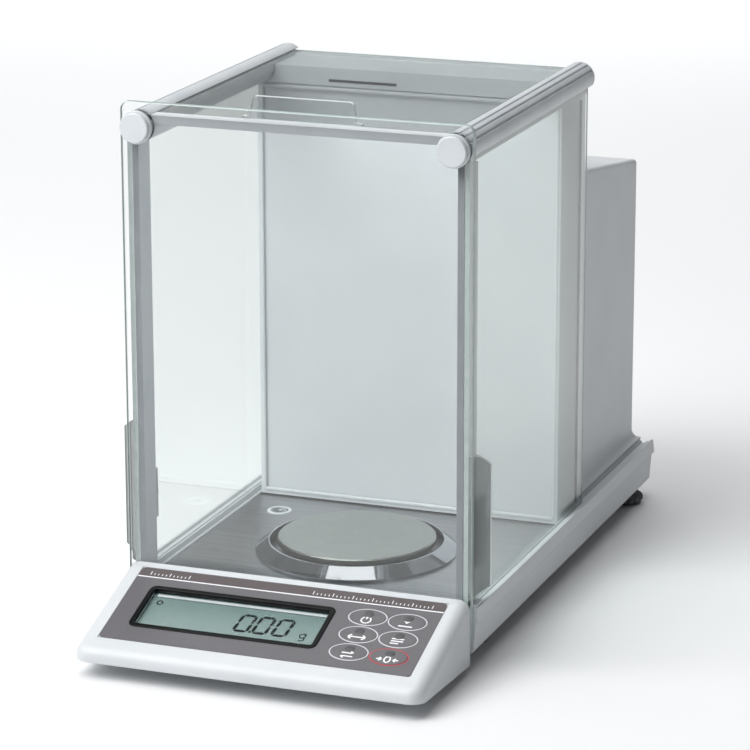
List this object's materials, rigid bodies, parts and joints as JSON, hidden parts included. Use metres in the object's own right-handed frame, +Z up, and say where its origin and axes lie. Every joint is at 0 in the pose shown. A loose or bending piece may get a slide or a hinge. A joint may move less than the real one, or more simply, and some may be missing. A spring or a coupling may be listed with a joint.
{
  "type": "analytical balance",
  "caption": "Bench analytical balance: long base with a sloping keypad and display, glass weighing chamber with sliding doors, round pan and rear housing.",
  "frame": {"origin": "middle of the outline on the table the feet stand on", "axes": "+X to the user's right, +Y from the user to the rear, +Z up"},
  "size_m": [0.225, 0.442, 0.3213],
  "materials": {
    "white_plastic": "fine satin moulding",
    "rail_plastic": "satin moulding",
    "wall_paint": "satin powder coat",
    "post_paint": "satin paint",
    "glass": "clear float glass",
    "clear_acrylic": "clear acrylic",
    "grip_plastic": "smoke-grey translucent plastic",
    "brushed_floor": "brushed",
    "pan_steel": "satin top, polished lip",
    "ring_chrome": "polished",
    "overlay_film": "printed polyester film",
    "bezel_black": "gloss",
    "lcd": "reflective liquid crystal cell",
    "window": "clear polycarbonate",
    "key_film": "printed film over a dome",
    "circuit_board": "solder mask",
    "cell_aluminium": "milled",
    "magnet_steel": "turned",
    "coil_copper": "enamelled winding",
    "foot_black": "knurled moulding",
    "rubber": "matt",
    "screw_steel": "zinc plated",
    "level_white": "moulded",
    "level_fluid": "clear vial",
    "connector": "moulded"
  },
  "bodies": {
    "balance": {"lower_case": "white_plastic", "base_cover": "white_plastic", "floor_plate": "brushed_floor", "rear_cover": "white_plastic", "rear_wall": "wall_paint", "console_housing": "white_plastic", "console_bottom": "white_plastic", "keypad_overlay": "overlay_film", "display_bezel": "bezel_black", "display_window": "window", "lcd_panel": "lcd", "display_board": "circuit_board", "key_switches": "connector", "front_glass": "glass", "left_post": "post_paint", "right_post": "post_paint", "front_top_bar": "rail_plastic", "rear_top_bar": "rail_plastic", "left_top_rail": "rail_plastic", "right_top_rail": "rail_plastic", "left_rail_cap": "rail_plastic", "right_rail_cap": "rail_plastic", "cell_base": "cell_aluminium", "upper_guide": "cell_aluminium", "lower_guide": "cell_aluminium", "transmission_lever": "cell_aluminium", "magnet_pot": "magnet_steel", "force_coil": "coil_copper", "level_housing": "level_white", "level_vial": "level_fluid", "front_feet": "rubber", "case_screws": "screw_steel", "underhook_cover": "screw_steel", "main_board": "circuit_board", "power_jack": "connector", "serial_port": "connector"},
    "left_door": {"left_door": "glass", "left_door_handle": "grip_plastic"},
    "right_door": {"right_door": "glass", "right_door_handle": "grip_plastic"},
    "top_door": {"top_door": "glass", "top_door_handle": "clear_acrylic"},
    "pan_carrier": {"pan_support": "cell_aluminium", "pan_arm": "cell_aluminium", "floating_block": "cell_aluminium"},
    "pan": {"weighing_pan": "pan_steel"},
    "ring": {"breeze_ring": "ring_chrome"},
    "left_knob": {"left_knob": "rail_plastic"},
    "right_knob": {"right_knob": "rail_plastic"},
    "left_foot_pad": {"left_foot_pad": "rubber"},
    "right_foot_pad": {"right_foot_pad": "rubber"},
    "left_foot_screw": {"left_foot_screw": "foot_black"},
    "right_foot_screw": {"right_foot_screw": "foot_black"},
    "on_off_key": {"on_off_key": "key_film"},
    "calibrate_key": {"calibrate_key": "key_film"},
    "range_key": {"range_key": "key_film"},
    "print_key": {"print_key": "key_film"},
    "mode_key": {"mode_key": "key_film"},
    "rezero_key": {"rezero_key": "key_film"}
  },
  "joints": [
    {"name": "left_door_slide", "type": "slide", "parent": "balance", "child": "left_door", "axis": [0, 1, 0], "range_m": [0, 0.135]},
    {"name": "right_door_slide", "type": "slide", "parent": "balance", "child": "right_door", "axis": [0, 1, 0], "range_m": [0, 0.135]},
    {"name": "top_door_slide", "type": "slide", "parent": "balance", "child": "top_door", "axis": [0, 1, 0], "range_m": [0, 0.132]},
    {"name": "pan_travel", "type": "slide", "parent": "balance", "child": "pan_carrier", "axis": [0, 0, 1], "range_m": [-0.0005, 0], "stiffness_N_per_m": 25000, "springref_m": 0.0003},
    {"name": "pan_lift", "type": "slide", "parent": "pan_carrier", "child": "pan", "axis": [0, 0, 1], "range_m": [0, 0.04]},
    {"name": "ring_lift", "type": "slide", "parent": "balance", "child": "ring", "axis": [0, 0, 1], "range_m": [0, 0.03]},
    {"name": "left_knob_turn", "type": "hinge", "parent": "balance", "child": "left_knob", "pos_m": [-0.0946, -0.139, 0.3019], "axis": [0, 1, 0], "range_deg": [0, 90]},
    {"name": "right_knob_turn", "type": "hinge", "parent": "balance", "child": "right_knob", "pos_m": [0.0946, -0.139, 0.3019], "axis": [0, 1, 0], "range_deg": [0, 90]},
    {"name": "left_foot_extend", "type": "slide", "parent": "balance", "child": "left_foot_pad", "axis": [0, 0, -1], "range_m": [0, 0.003]},
    {"name": "left_foot_turn", "type": "hinge", "parent": "left_foot_pad", "child": "left_foot_screw", "pos_m": [-0.092, 0.2, 0.004], "axis": [0, 0, 1], "range_deg": [0, 1430]},
    {"name": "right_foot_extend", "type": "slide", "parent": "balance", "child": "right_foot_pad", "axis": [0, 0, -1], "range_m": [0, 0.003]},
    {"name": "right_foot_turn", "type": "hinge", "parent": "right_foot_pad", "child": "right_foot_screw", "pos_m": [0.092, 0.2, 0.004], "axis": [0, 0, 1], "range_deg": [0, 1430]},
    {"name": "on_off_press", "type": "slide", "parent": "balance", "child": "on_off_key", "axis": [0, 0.3198, -0.9475], "range_m": [0, 0.0005], "stiffness_N_per_m": 2500, "springref_m": -0.0002},
    {"name": "calibrate_press", "type": "slide", "parent": "balance", "child": "calibrate_key", "axis": [0, 0.3198, -0.9475], "range_m": [0, 0.0005], "stiffness_N_per_m": 2500, "springref_m": -0.0002},
    {"name": "range_press", "type": "slide", "parent": "balance", "child": "range_key", "axis": [0, 0.3198, -0.9475], "range_m": [0, 0.0005], "stiffness_N_per_m": 2500, "springref_m": -0.0002},
    {"name": "print_press", "type": "slide", "parent": "balance", "child": "print_key", "axis": [0, 0.3198, -0.9475], "range_m": [0, 0.0005], "stiffness_N_per_m": 2500, "springref_m": -0.0002},
    {"name": "mode_press", "type": "slide", "parent": "balance", "child": "mode_key", "axis": [0, 0.3198, -0.9475], "range_m": [0, 0.0005], "stiffness_N_per_m": 2500, "springref_m": -0.0002},
    {"name": "rezero_press", "type": "slide", "parent": "balance", "child": "rezero_key", "axis": [0, 0.3198, -0.9475], "range_m": [0, 0.0005], "stiffness_N_per_m": 2500, "springref_m": -0.0002}
  ],
  "couplings": [
    {"joint": "left_foot_extend", "follows": "left_foot_turn", "m_per_rad": 0.00011937},
    {"joint": "right_foot_extend", "follows": "right_foot_turn", "m_per_rad": 0.00011937}
  ]
}
